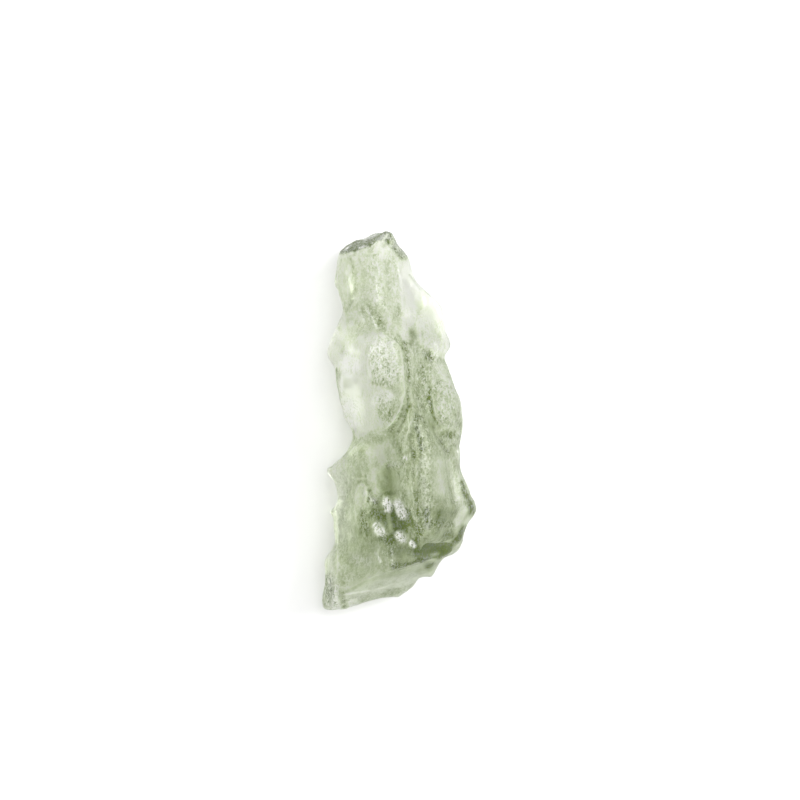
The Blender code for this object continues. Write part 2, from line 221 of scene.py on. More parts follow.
# Shallow cells of the front, with crisp edges: middle x and y, half width, half length, turn in degrees, and
# depth, in mm. A cell with a depth below 0 swells out instead.
CELLS = {
    "upper scoop": (-1.3, 4.9, 1.25, 2.1, 8.0, -0.26),
    "lower scoop": (-1.15, 0.9, 1.05, 1.4, 6.0, -0.22),
    "cell top": (-3.75, 4.7, 1.05, 1.0, 0.0, 0.12),
    "cell middle": (-3.8, 2.8, 0.95, 0.75, 0.0, 0.04),
    "cell low": (-3.65, 0.7, 1.05, 1.1, 0.0, 0.14),
    "dark cell": (-0.80, -4.7, 1.25, 1.45, 8.0, 0.24),
    "flake": (-4.2, 11.2, 0.48, 1.9, 6.0, 0.05),
    "wing hollow": (1.1, 10.1, 0.80, 2.1, -4.0, 0.14),
    "outer wing": (2.9, 7.5, 0.85, 2.1, 12.0, 0.22),
    "rough field": (1.75, 3.4, 0.75, 1.5, 0.0, 0.18),
    "smooth slope": (2.45, -0.8, 0.55, 1.5, 22.0, 0.18),
    "right lobe": (3.75, 1.35, 0.95, 2.1, 8.0, -0.28),
    "lower plane": (-3.2, -9.4, 1.35, 2.2, 0.0, 0.22),
    "corner hollow": (5.0, -7.0, 0.65, 1.0, -30.0, 0.24),
    "beside the column": (3.1, -4.6, 0.55, 1.7, -4.0, 0.05),
    "left of the column": (1.05, -2.0, 0.35, 1.4, 12.0, 0.16),
    "upper left": (-2.9, 11.0, 0.75, 1.6, -4.0, 0.07),
    "upper middle": (-1.3, 11.2, 0.75, 1.7, 4.0, 0.07),
    "shoulder": (-2.9, 7.3, 0.8, 0.8, 0.0, 0.14),
    "triangle": (2.9, -10.2, 1.3, 0.75, 4.0, 0.14),
}

# Corners and nicks of the outline, in mm: how far the side is drawn out or, below 0, pushed in, its reach,
# and its place.
EDGES = {
    "low right corner": (0.38, 0.9, (2.3, -12.0)),
    "low right step": (-0.08, 0.5, (1.3, -12.6)),
    "low point": (0.18, 0.5, (-0.2, -13.9)),
    "right corner": (0.22, 1.1, (4.4, -9.9)),
    "left barb": (0.22, 0.5, (-5.3, -7.15)),
    "left notch": (-0.10, 0.6, (-5.3, -6.2)),
    "spur point": (0.20, 0.4, (-5.6, -3.85)),
    "left corner": (0.08, 0.6, (-5.95, -11.1)),
    "wing bump": (0.22, 1.1, (3.9, 5.8)),
    "wing nick": (-0.10, 0.5, (3.5, 8.6)),
    "right nick": (-0.12, 0.4, (4.6, -1.9)),
    "flake point": (0.14, 0.6, (-4.9, 10.9)),
    "break corner": (0.14, 0.4, (-4.4, 13.3)),
    "break top": (0.22, 1.6, (-3.0, 14.2)),
    "break tip": (0.32, 0.9, (-0.8, 14.7)),
}

# The depth of green seen through the front, laid on in order like strokes of a brush. It is partly the glass's
# own green and partly painted light and shade: pale patches where light passes through or is led inside the
# glass, and darker patches under the domes, in grooves and along the outlines. Tone from 0, clear, to 1, deep
# green, then half width, softness of the edge from 0 to 1, and the places that the stroke runs through. A tone
# past either end stays clear or deep where the grains and hollows would change it.
TONES = {
    "body": (0.50, 9.0, 1.0, ((0.0, 8.0), (0.0, -8.0))),
    "lower body": (0.60, 6.0, 0.7, ((0.5, -7.5), (0.5, -4.5))),
    "lower left": (0.46, 2.4, 0.5, ((-3.2, -7.0), (-3.2, -11.5))),
    "lower left bright": (0.48, 0.9, 0.8, ((-4.4, -7.0), (-4.3, -12.0))),
    "lower left dark": (0.44, 1.1, 1.0, ((-2.0, -9.6), (-1.8, -11.0))),
    "lower left corner": (0.26, 0.9, 1.0, ((-4.6, -11.6), (-3.8, -12.2))),
    "upper body": (0.08, 2.4, 0.7, ((-2.0, 13.0), (-1.8, 10.4))),
    "upper right": (0.10, 1.0, 0.9, ((-0.4, 12.8), (-0.2, 9.8))),
    "upper middle": (0.14, 0.7, 1.0, ((-1.5, 11.8), (-1.4, 9.8))),
    "upper left smooth": (0.08, 0.55, 0.9, ((-3.0, 12.6), (-2.9, 10.2))),
    "upper column": (0.16, 0.35, 0.9, ((-1.8, 12.6), (-1.7, 9.6))),
    "shoulder": (0.12, 1.6, 0.9, ((-3.2, 8.2), (-0.6, 7.4))),
    "left slope": (0.12, 0.8, 0.8, ((-4.3, 7.9), (-4.2, 6.4))),
    "left shoulder": (0.0, 0.5, 1.0, ((-4.5, 8.4), (-4.4, 7.6))),
    "wing": (-0.10, 1.5, 0.4, ((0.9, 11.9), (1.3, 10.0), (1.4, 8.4))),
    # The inner wing and its foot are painted paler than clear: painted light over the shade of the wing's fold.
    "wing inner": (-0.3, 0.7, 0.8, ((0.5, 12.0), (0.7, 10.0), (0.8, 8.0))),
    "outer wing": (0.02, 1.5, 0.5, ((2.9, 9.0), (3.0, 6.2))),
    # A dark line along the wing's outline: painted shade of its steep edge.
    "wing edge": (
        0.34, 0.16, 0.9,
        ((0.75, 11.6), (1.55, 10.5), (2.74, 9.84), (3.53, 8.75), (3.9, 7.4), (4.0, 5.6)),
    ),
    "wing seam": (0.10, 0.40, 0.9, ((2.0, 9.4), (1.5, 8.4), (1.3, 7.0), (1.6, 6.2))),
    "wing foot": (-0.20, 0.6, 1.0, ((0.5, 9.6), (0.4, 8.2), (0.45, 6.6))),
    "left flake": (0.16, 0.65, 0.4, ((-4.5, 12.7), (-4.3, 10.6))),
    "beside the flake": (0.50, 0.30, 1.0, ((-3.9, 12.9), (-3.6, 11.6), (-3.5, 10.6), (-3.8, 9.8))),
    # The broken end is painted dark: partly the deeper green of its clear fresh glass, partly painted shade of
    # a facet turned from the light.
    "break": (1.15, 0.66, 0.60, ((-4.5, 13.65), (-2.6, 14.35), (-1.0, 14.95))),
    "break dark": (1.50, 0.44, 0.8, ((-4.1, 13.65), (-3.2, 13.85), (-2.5, 14.05))),
    "break pale": (0.95, 0.26, 0.9, ((-2.6, 14.6), (-1.9, 14.85))),
    "break right": (0.80, 0.50, 0.5, ((-1.0, 14.5), (-0.4, 13.85), (0.3, 13.05))),
    "break line": (0.50, 0.14, 1.0, ((-2.6, 13.05), (-2.0, 13.1), (-1.7, 13.15))),
    "cluster shade": (0.42, 0.85, 0.9, ((-2.6, 9.2), (-2.0, 8.4), (-1.6, 7.7))),
    "cluster shade right": (0.42, 0.5, 1.0, ((-1.6, 9.3), (-1.3, 8.8))),
    "notch shade": (0.30, 0.28, 1.0, ((-4.2, 8.8), (-3.8, 9.5))),
    "left bulge": (-0.40, 0.9, 0.6, ((-5.3, 6.6), (-5.4, 4.6))),
    # Dark lines along the left outline: painted shade of the steep edge.
    "left edge": (0.72, 0.14, 0.9, ((-5.0, 4.2), (-5.0, 2.9), (-4.9, 2.2), (-4.75, 1.2))),
    "left edge low": (0.30, 0.10, 0.9, ((-4.75, 1.2), (-4.45, 0.2), (-4.1, -0.6))),
    "lobe": (-0.12, 2.4, 0.35, ((-2.4, 5.0), (-2.4, 1.2))),
    "lobe top left": (0.12, 0.7, 1.0, ((-3.8, 6.4), (-3.2, 5.9))),
    # The upper scoop is painted paler at its crest and darker at its foot: painted light and shade of a dome
    # lit from above.
    "upper scoop": (0.13, 1.6, 0.5, ((-1.4, 5.6), (-1.15, 4.2))),
    "upper scoop crest": (-0.10, 0.6, 0.8, ((-1.6, 6.3), (-0.5, 5.9))),
    "upper scoop foot": (0.38, 0.60, 1.0, ((-1.9, 3.7), (-1.2, 3.1))),
    "cell top": (-0.25, 0.95, 0.5, ((-3.9, 4.9), (-3.9, 4.3))),
    "cell middle": (-0.16, 0.75, 0.25, ((-4.1, 3.0), (-3.6, 2.75))),
    "cell middle right": (0.00, 0.5, 0.8, ((-3.2, 3.0), (-2.9, 2.2))),
    "cell low": (-0.45, 1.0, 0.45, ((-4.0, 1.2), (-3.7, 0.1))),
    "waist green": (-0.60, 0.6, 0.8, ((-3.2, -0.9), (-2.4, -0.3))),
    # The lower scoop likewise: painted light at its crest and painted shade at its foot.
    "lower scoop": (0.22, 1.05, 0.8, ((-1.2, 1.2), (-1.1, 0.6))),
    "lower scoop crest": (0.06, 0.5, 1.0, ((-1.9, 1.9), (-1.3, 2.3), (-0.7, 2.2))),
    "lower scoop foot": (0.38, 0.8, 1.0, ((-1.0, 0.5), (-0.4, 0.9))),
    "lobe foot": (-0.60, 0.6, 0.9, ((-2.6, 1.4), (-2.6, 0.4))),
    "divide": (0.48, 0.50, 1.0, ((-1.9, 3.1), (-1.0, 2.95), (-0.4, 2.45))),
    "rim": (
        0.20, 0.30, 1.0,
        ((-0.95, 6.5), (-0.1, 5.75), (0.22, 4.6), (0.33, 3.2), (0.34, 2.4), (0.18, 1.4), (-0.2, 0.5),
         (-0.95, -0.35)),
    ),
    "groove": (0.52, 0.30, 1.0, ((0.68, 2.6), (0.66, 1.2), (0.3, 0.1), (-0.2, -0.7))),
    "wedge": (0.26, 0.60, 1.0, ((0.1, -0.3), (-0.3, -1.2), (-0.9, -1.7))),
    "lobe foot right": (0.06, 0.5, 1.0, ((-1.8, -0.9), (-1.1, -1.0))),
    "outside the rim": (0.40, 0.30, 1.0, ((0.4, 6.2), (0.7, 4.6), (0.8, 3.2))),
    "second rim": (0.44, 0.18, 0.6, ((0.78, 2.6), (1.02, 1.55), (1.02, 0.8), (0.67, -0.35), (0.37, -1.3))),
    "rough field": (0.50, 1.0, 0.8, ((1.9, 3.9), (1.8, 1.6))),
    "pit": (0.52, 0.40, 1.0, ((2.34, 5.3), (2.40, 5.0))),
    "around the pit": (0.04, 0.5, 0.8, ((1.6, 6.4), (2.7, 6.7))),
    "yellow patch": (0.20, 0.45, 0.8, ((2.7, 4.5), (3.1, 4.2))),
    "right lobe": (0.24, 1.0, 0.5, ((3.4, 2.5), (3.7, 0.8))),
    "lobe low shade": (0.58, 0.5, 1.0, ((3.2, 0.4), (3.9, -0.2))),
    "lobe low right": (0.50, 0.5, 1.0, ((4.4, 0.6), (4.7, -0.4))),
    "right lobe top": (0.02, 0.5, 1.0, ((3.3, 4.2), (3.6, 2.8))),
    "lobe edge": (0.62, 0.40, 1.0, ((2.3, 1.6), (2.7, 0.4))),
    "right lobe foot": (0.74, 0.60, 1.0, ((3.6, -0.9), (4.6, -1.2))),
    "right lobe end": (0.58, 0.35, 0.9, ((4.1, -1.7), (4.4, -1.9))),
    "smooth slope": (0.50, 0.85, 0.9, ((1.9, 0.8), (2.9, -1.0))),
    "right of field": (0.80, 0.6, 1.0, ((1.0, 1.2), (1.5, -0.4))),
    "valley": (0.70, 0.26, 1.0, ((3.2, -1.6), (3.8, -2.4))),
    "waist line": (0.34, 0.14, 1.0, ((-4.2, -2.6), (-3.8, -2.1), (-3.05, -1.3), (-2.2, -1.1))),
    "under the waist": (0.18, 0.9, 0.9, ((-3.4, -2.6), (-2.0, -2.2))),
    "spur": (0.12, 0.9, 0.8, ((-4.9, -3.8), (-4.4, -3.4))),
    "left lower edge": (0.26, 0.5, 0.9, ((-4.9, -5.0), (-4.8, -6.6))),
    "left lower dark": (0.12, 0.5, 1.0, ((-4.6, -5.4), (-4.5, -6.6))),
    "left glow": (0.58, 0.70, 1.0, ((-4.3, -6.8), (-4.0, -8.2))),
    "left of the cell edge": (0.52, 0.32, 0.6, ((-2.95, -2.3), (-2.95, -4.5))),
    "right of the cell edge": (-0.02, 0.60, 1.0, ((-2.2, -2.2), (-2.15, -4.6))),
    "dark cell": (0.50, 1.10, 0.7, ((-0.65, -4.2), (-0.45, -5.2))),
    "dark cell left": (0.20, 0.42, 0.9, ((-1.55, -3.6), (-1.50, -4.4))),
    "upper wedge": (-0.22, 0.75, 1.0, ((-1.5, -2.1), (-1.5, -3.0))),
    "below the rims": (0.12, 0.7, 1.0, ((-0.9, -1.5), (-0.5, -2.2), (-0.4, -3.0))),
    "dark cell foot": (0.70, 0.40, 1.0, ((-1.1, -5.7), (-0.2, -5.6))),
    "low shade left": (0.10, 0.6, 1.0, ((-2.5, -4.9), (-1.9, -5.4))),
    "small finger": (0.14, 0.60, 0.35, ((-3.1, -5.4), (-3.1, -8.0))),
    "left of the small finger": (0.30, 0.22, 0.9, ((-4.0, -7.6), (-3.85, -5.6), (-3.5, -4.8))),
    "above the small finger": (0.18, 0.2, 1.0, ((-3.3, -4.5), (-2.6, -4.5))),
    "below the small finger": (0.82, 1.0, 0.8, ((-2.7, -7.4), (-2.8, -8.4))),
    "chip field": (0.86, 1.5, 0.7, ((-1.1, -7.3), (0.1, -8.2))),
    "chip field pale": (0.50, 0.3, 0.9, ((-0.9, -7.4), (-0.7, -8.6))),
    "between the chips": (1.10, 0.3, 0.9, ((-0.62, -6.6), (-0.45, -7.6))),
    "right of the chips": (1.10, 0.32, 0.9, ((0.55, -6.9), (0.85, -8.0))),
    "finger side": (
        0.52, 0.22, 0.8,
        ((0.5, -2.8), (0.71, -4.45), (1.13, -6.96), (1.34, -7.9), (1.75, -8.97)),
    ),
    "column": (0.52, 0.60, 0.9, ((1.6, -0.2), (2.0, -1.8), (2.0, -6.0))),
    "column top shade": (1.0, 0.45, 1.0, ((1.3, -0.5), (1.7, -2.2))),
    "column low": (0.26, 0.45, 1.0, ((0.6, -5.2), (0.75, -6.0))),
    "column foot": (0.96, 0.50, 0.9, ((2.1, -7.0), (2.2, -8.2))),
    "left of the column": (0.86, 0.50, 0.9, ((1.2, -5.6), (1.6, -8.6))),
    "right of the column": (0.06, 0.95, 1.0, ((3.1, -3.3), (3.2, -5.4))),
    "deep corner": (0.80, 0.9, 1.0, ((2.9, -7.3), (4.0, -7.2))),
    "deep corner low": (0.88, 0.7, 1.0, ((2.9, -8.0), (3.8, -8.1))),
    "beside the patch": (0.80, 0.40, 1.0, ((4.3, -6.4), (4.3, -7.1))),
    "streak": (0.08, 0.34, 0.5, ((3.85, -3.2), (4.13, -4.6), (4.45, -6.0))),
    "beside the streak": (0.96, 0.38, 0.9, ((4.85, -4.8), (5.15, -5.8))),
    "corner": (0.96, 0.7, 0.9, ((5.5, -5.8), (5.7, -7.2))),
    "pale patch": (0.10, 0.38, 0.5, ((5.05, -6.9), (4.5, -7.9))),
    "finger end": (0.76, 0.62, 0.6, ((2.4, -8.95), (3.9, -8.85))),
    "low middle": (0.76, 1.2, 0.9, ((-0.3, -10.0), (0.6, -10.6))),
    "low left chips ground": (0.95, 0.6, 1.0, ((-1.6, -9.2), (-0.6, -9.3))),
    "low middle right": (0.96, 0.5, 0.8, ((1.3, -9.4), (1.3, -10.7))),
    "finger end line": (0.80, 0.12, 0.8, ((1.75, -9.0), (2.42, -9.35), (3.4, -9.40), (4.2, -9.1))),
    "brow shade": (1.0, 0.50, 1.0, ((-0.5, -11.4), (1.6, -10.9), (3.2, -10.6))),
    "low right edge": (1.00, 0.50, 0.8, ((3.9, -9.9), (4.7, -9.1), (5.1, -8.4))),
    "triangle": (2.55, 0.52, 0.25, ((1.9, -10.75), (2.2, -10.05), (3.6, -10.0), (3.3, -10.4), (2.3, -10.6))),
    "below the triangle": (1.20, 0.45, 0.8, ((2.2, -11.0), (3.3, -10.7))),
    "bevel": (0.46, 0.55, 0.3, ((-4.2, -13.75), (-2.2, -12.75), (0.2, -12.15), (2.6, -11.25))),
    "bevel low": (0.44, 0.5, 0.5, ((-3.0, -14.0), (-0.6, -13.4), (1.2, -12.7))),
    "bevel right": (0.92, 0.55, 1.0, ((2.2, -11.4), (3.4, -10.9))),
    "bevel line": (0.42, 0.10, 0.9, ((-2.35, -13.15), (-0.8, -12.6), (0.75, -12.3))),
    "bevel bright line": (0.10, 0.14, 0.7, ((-4.9, -13.7), (-4.2, -13.6), (-2.4, -13.35))),
    "left strip": (0.18, 0.40, 0.4, ((-5.45, -7.2), (-5.35, -9.4), (-5.6, -11.6))),
    # The left outline and the tip's edge are painted darker: painted shade of the steep edge.
    "left outline": (
        0.38, 0.13, 0.9,
        ((-5.2, -6.6), (-5.4, -7.2), (-5.3, -9.5), (-6.0, -11.1), (-6.1, -12.0)),
    ),
    "left ridge": (0.16, 0.18, 0.6, ((-5.0, -7.3), (-5.0, -11.5), (-5.2, -13.4))),
    "tip": (0.62, 0.7, 0.8, ((-5.7, -12.4), (-5.4, -14.4))),
    "beside the tip": (0.72, 0.5, 0.9, ((-4.6, -13.6), (-4.4, -14.6))),
    "beside the tip right": (0.40, 0.5, 1.0, ((-3.4, -11.4), (-2.6, -12.0))),
    "tip edge": (0.86, 0.18, 0.8, ((-6.1, -12.0), (-6.15, -14.0), (-5.8, -14.9), (-4.8, -15.0))),
}

# Painted highlights of the front: white grains painted into the base colour and made metallic, written like the
# tones: how many grains shine, half width, softness, places.
GLINTS = {
    "cluster": (1.0, 0.10, 0.8, ((-2.6, 8.9), (-2.25, 8.2), (-1.75, 7.3))),
    "cluster left": (0.8, 0.10, 0.8, ((-3.09, 8.5), (-2.75, 7.8))),
    "cluster right": (0.7, 0.13, 0.8, ((-1.3, 9.15), (-0.97, 8.67))),
    "seam": (0.5, 0.12, 0.8, ((-0.11, 12.2), (0.05, 11.3), (0.2, 10.2))),
    "seam sparkle": (0.20, 0.6, 1.0, ((0.2, 12.4), (0.6, 10.8))),
    # Painted light over the shade of the wing's fold.
    "wing inner": (0.12, 0.55, 1.0, ((0.6, 11.0), (0.6, 9.4), (0.6, 8.4))),
    "wing fold": (0.20, 0.7, 1.0, ((1.5, 9.5), (1.3, 8.2))),
    "upper column": (0.22, 0.40, 1.0, ((-1.9, 12.7), (-1.7, 9.4))),
    "break": (0.60, 0.22, 0.8, ((-2.9, 14.4), (-2.0, 14.75))),
    "break left": (0.8, 0.13, 0.9, ((-4.3, 13.6), (-3.9, 13.9))),
    "break middle": (0.8, 0.13, 0.9, ((-3.2, 13.7), (-2.9, 13.75))),
    "break end": (0.5, 0.25, 0.9, ((-1.6, 14.3), (-1.0, 14.7))),
    "break side": (0.35, 0.35, 0.9, ((-0.3, 14.0), (0.3, 13.2))),
    "left cell": (0.9, 0.14, 0.8, ((-4.6, 3.4), (-4.62, 2.0))),
    "cell low streaks": (1.0, 0.14, 0.8, ((-4.5, 1.3), (-4.1, 0.8))),
    "cell low edge": (1.0, 0.12, 0.8, ((-4.4, 0.4), (-4.0, 0.0))),
    "cell top": (0.80, 0.85, 0.8, ((-4.2, 4.7), (-4.1, 4.0), (-3.6, 4.3))),
    "cell low": (0.80, 0.90, 0.8, ((-4.0, 1.2), (-3.6, 0.0))),
    "upper scoop": (0.34, 1.55, 0.45, ((-1.45, 5.7), (-1.15, 4.1))),
    "lower scoop": (0.46, 0.9, 0.8, ((-1.7, 1.7), (-0.9, 1.9))),
    "pit side": (0.35, 0.16, 0.8, ((2.75, 6.2), (2.95, 5.5), (2.9, 5.0))),
    "field fleck": (0.6, 0.10, 0.8, ((1.32, 3.6), (1.36, 3.3))),
    "field low": (0.30, 0.4, 1.0, ((1.3, 1.8), (1.6, 0.6))),
    "column": (0.24, 0.62, 0.9, ((1.5, -0.4), (1.9, -1.6), (2.0, -6.2))),
    "column foot": (0.30, 0.35, 0.8, ((2.1, -6.6), (2.2, -8.3))),
    "cell crest": (0.40, 0.28, 0.9, ((-0.9, -3.4), (0.0, -3.3))),
    "streak": (0.15, 0.22, 0.9, ((4.0, -3.2), (4.2, -4.8), (4.5, -6.0))),
    "right rim": (1.0, 0.12, 0.8, ((4.55, -2.3), (4.78, -3.5))),
    "waist rim": (0.7, 0.12, 0.9, ((-5.3, -3.6), (-4.7, -2.95))),
    "low streak": (0.55, 0.11, 0.8, ((-0.65, -10.0), (-0.6, -11.5))),
    "low left streak": (0.5, 0.2, 0.9, ((-1.9, -10.3), (-1.55, -11.0))),
    "upper left chip": (0.60, 0.32, 0.8, ((-2.3, -6.0), (-1.9, -6.35))),
    "lower left": (0.42, 0.9, 1.0, ((-3.5, -10.8), (-2.6, -11.0))),
    "small finger": (0.20, 0.4, 0.9, ((-3.0, -5.4), (-2.6, -5.8))),
    "tip": (0.55, 0.6, 1.0, ((-5.4, -12.4), (-5.2, -14.4))),
    "bevel": (0.30, 0.14, 0.9, ((-4.9, -13.72), (-4.2, -13.6), (-2.4, -13.35))),
    "bevel veil": (0.26, 0.7, 0.5, ((-3.9, -13.9), (-2.0, -13.1), (0.2, -12.6), (1.0, -12.4))),
}

# Frosted places of the front, written like the tones: how frosted, half width, softness, and the places.
FROST = {
    "flake smooth": (0.25, 0.6, 0.4, ((-4.5, 12.6), (-4.2, 10.2))),
    "wing smooth": (0.10, 1.1, 0.5, ((1.0, 11.6), (1.4, 9.6))),
    "lower left": (0.26, 1.9, 0.6, ((-3.4, -8.6), (-2.6, -11.0))),
    "outer wing smooth": (0.14, 1.1, 0.5, ((2.6, 9.6), (3.2, 7.6))),
    "cell middle": (0.06, 0.8, 0.3, ((-4.1, 3.0), (-3.6, 2.7))),
    "slope smooth": (0.14, 0.5, 0.8, ((1.7, 0.9), (2.9, -0.9))),
    "dark cell": (0.10, 1.1, 0.6, ((-1.0, -4.3), (-0.8, -5.2))),
    "right of the column": (0.30, 0.8, 0.8, ((3.0, -2.8), (3.1, -5.6), (3.3, -8.2))),
    "deep corner": (0.10, 0.9, 0.7, ((2.9, -7.3), (4.0, -7.2))),
    "right corner smooth": (0.10, 0.8, 0.6, ((4.0, -9.6), (5.0, -8.6), (5.4, -7.4))),
    "low middle": (0.10, 1.3, 0.7, ((0.2, -10.4), (1.9, -10.1))),
    "chip field": (0.12, 1.4, 0.7, ((-1.1, -7.3), (0.1, -8.4))),
    "finger end": (0.16, 0.6, 0.7, ((2.2, -8.95), (3.9, -8.85))),
    "streak": (0.40, 0.4, 0.8, ((3.85, -3.2), (4.13, -4.6), (4.45, -6.0))),
    "triangle": (0.04, 0.75, 0.5, ((2.2, -10.2), (3.6, -10.08))),
    "bevel smooth": (0.06, 0.9, 0.5, ((-3.4, -13.1), (0.4, -12.3), (2.9, -11.3))),
    "upper body": (0.70, 0.8, 0.8, ((-2.0, 12.4), (-1.7, 9.4))),
    "upper middle": (0.55, 0.8, 0.8, ((-0.8, 12.6), (-0.5, 9.6))),
    "shoulder": (0.60, 1.0, 0.8, ((-2.8, 8.2), (-1.0, 7.6))),
    "upper scoop": (0.95, 1.6, 0.5, ((-1.4, 5.7), (-1.2, 3.9))),
    "lower scoop": (0.95, 1.15, 0.7, ((-1.2, 1.5), (-1.1, 0.5))),
    "cell top": (0.85, 0.8, 0.5, ((-3.9, 4.9), (-3.9, 4.3))),
    "cell low": (0.90, 0.9, 0.5, ((-4.1, 1.2), (-3.8, 0.0))),
    "beside the rim": (0.70, 0.45, 0.6, ((0.6, 6.0), (0.8, 3.2))),
    "rough field": (0.66, 1.1, 0.6, ((1.9, 4.0), (1.8, 1.6))),
    "around the pit": (0.70, 0.9, 0.6, ((2.3, 6.2), (2.6, 5.0))),
    "outer wing": (0.35, 0.8, 0.8, ((3.0, 7.6), (3.1, 6.4))),
    "right lobe": (1.0, 1.0, 0.4, ((3.4, 2.5), (3.8, 0.4))),
    "right edge": (0.60, 0.5, 0.6, ((4.5, 0.6), (4.6, -1.2))),
    "column": (0.62, 0.65, 0.6, ((1.6, 0.1), (2.0, -1.8), (2.0, -5.2), (2.2, -7.9))),
    "cell crest": (0.70, 0.45, 0.7, ((-0.9, -3.3), (0.0, -3.4))),
    "spur": (0.50, 0.8, 0.7, ((-4.9, -3.8), (-3.6, -2.6))),
    "small finger": (0.40, 0.8, 0.7, ((-3.1, -5.2), (-3.0, -8.0))),
    "break": (0.75, 0.6, 0.6, ((-4.2, 13.6), (-1.2, 14.8), (0.2, 13.4))),
    "tip": (1.0, 0.7, 0.6, ((-5.6, -12.4), (-5.3, -14.5))),
}

# How grey the glass looks from the front, written like the tones: 0 keeps its green, and 1 is grey.
GREYS = {
    "left lower edge": (0.62, 1.4, 0.9, ((-4.8, -4.6), (-4.6, -8.8))),
    "left strip": (0.40, 0.6, 0.9, ((-5.3, -8.4), (-5.6, -12.4))),
    "cell edge": (0.45, 0.9, 0.9, ((-4.4, 3.6), (-4.0, 1.8), (-3.6, 1.2))),
    "break": (0.20, 0.8, 0.6, ((-4.4, 13.5), (-2.6, 14.2), (-1.0, 14.8))),
    "break right": (0.15, 0.7, 0.6, ((-0.9, 14.4), (0.3, 13.1))),
    "tip": (0.25, 1.0, 0.8, ((-5.7, -12.6), (-5.4, -14.4))),
    "bevel": (0.20, 0.9, 0.8, ((-3.4, -13.6), (1.6, -12.2))),
    # The grey along the wing's outline goes with its painted edge shade.
    "wing edge": (
        0.60, 0.4, 0.9,
        ((0.75, 11.6), (1.55, 10.5), (2.74, 9.84), (3.53, 8.75), (3.9, 7.4), (4.0, 5.6)),
    ),
}

# The colours that the tones stand for, clear to deep.
GREENS = (
    (0.0, (1.0, 1.0, 0.98)),
    (0.25, (0.745, 0.81, 0.61)),
    (0.5, (0.485, 0.56, 0.35)),
    (0.75, (0.275, 0.34, 0.15)),
    (1.0, (0.042, 0.073, 0.003)),
)

# Etch pits, coarse to fine: how many, smallest and largest radius in mm, depth as a share of the radius, and
# stretch along the stone.
FRONT_PITS = {
    "dimples": (800, 0.30, 0.75, 0.16, 1.8),
    "pinpricks": (5000, 0.13, 0.28, 0.26, 1.8),
}
BACK_PITS = {
    "hollows": (220, 0.60, 1.30, 0.22, 1.3),
    "dimples": (900, 0.26, 0.60, 0.20, 1.5),
}


class MoldaviteSkin(bpy.types.PropertyGroup):
    """The stone's etched surface."""

    step: FloatProperty(
        name="Step",
        description="Size of the skin's mesh faces",
        default=0.108 * MM,
        unit="LENGTH",
        precision=6,
    )
    rounding: IntProperty(name="Rounding", description="Smoothing passes before the relief is cut", default=4)
    relief: FloatProperty(
        name="Relief", description="Strength of rims and grooves", default=1.0, subtype="FACTOR"
    )
    pitting: FloatProperty(
        name="Pitting", description="Strength of the etch pits", default=1.0, subtype="FACTOR"
    )
    seed: IntProperty(name="Seed", description="Which scatter of pits is used", default=7)


class MoldaviteGlass(bpy.types.PropertyGroup):
    """The stone's glass."""

    tint: FloatVectorProperty(
        name="Tint",
        description="Light that the glass lets through",
        default=(0.52, 0.585, 0.35),
        size=3,
        subtype="COLOR",
    )
    depth_of_tint: FloatProperty(
        name="Depth of tint", description="Absorption per metre of glass", default=13.0, min=0.0
    )
    clearness: FloatProperty(
        name="Clearness",
        description="Share of the light that passes into the glass",
        default=0.93,
        subtype="FACTOR",
    )
    ior: FloatProperty(name="IOR", description="Index of refraction", default=1.49, min=1.0)
    clear: FloatProperty(
        name="Clear", description="Roughness where the skin is clear", default=0.29, subtype="FACTOR"
    )
    frosted: FloatProperty(
        name="Frosted", description="Roughness in the frosted pits", default=0.45, subtype="FACTOR"
    )
    crushed: FloatProperty(
        name="Crushed", description="Roughness of the crushed grains", default=0.9, subtype="FACTOR"
    )


class MoldaviteStage(bpy.types.PropertyGroup):
    """The floor, light and camera."""

    floor_tone: FloatProperty(
        name="Floor", description="Grey level of the floor", default=0.93, subtype="FACTOR"
    )
    camera_height: FloatProperty(
        name="Camera height", description="Camera above the floor", default=0.60, unit="LENGTH"
    )
    camera_ahead: FloatProperty(
        name="Camera ahead", description="Camera ahead of the stone's middle", default=1.7 * MM, unit="LENGTH"
    )
    field: FloatProperty(name="Field", description="Width of floor in view", default=63.5 * MM, unit="LENGTH")
    room: FloatProperty(name="Room", description="Strength of the light from all round", default=0.82)
    overhead: FloatProperty(
        name="Overhead", description="Power of the softbox overhead", default=3.4, unit="POWER"
    )
    side: FloatProperty(
        name="Side light", description="Power of the low softbox at the right", default=13.0, unit="POWER"
    )


def points_of(mesh):
    """Every vertex's place, as an array."""
    return np.array([vertex.co for vertex in mesh.verts])


def normals_of(mesh):
    """Every vertex's normal, as an array."""
    mesh.normal_update()
    return np.array([vertex.normal for vertex in mesh.verts])


def put(mesh, points):
    """Moves the mesh's vertices to the points."""
    for vertex, point in zip(mesh.verts, points):
        vertex.co = Vector(point)


def smoothed(mesh, passes):
    """Evens the mesh out a little more with each pass."""
    for _ in range(passes):
        bmesh.ops.smooth_vert(
            mesh, verts=mesh.verts, factor=0.5, use_axis_x=True, use_axis_y=True, use_axis_z=True
        )


def merged_copy(node):
    """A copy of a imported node's mesh with its split points joined again, as a bmesh in mm."""
    solid = bmesh.new()
    solid.from_mesh(node.data)
    bmesh.ops.remove_doubles(solid, verts=solid.verts, dist=MERGE_GAP)
    bmesh.ops.scale(solid, vec=(1.0 / MM,) * 3, verts=solid.verts)
    return solid


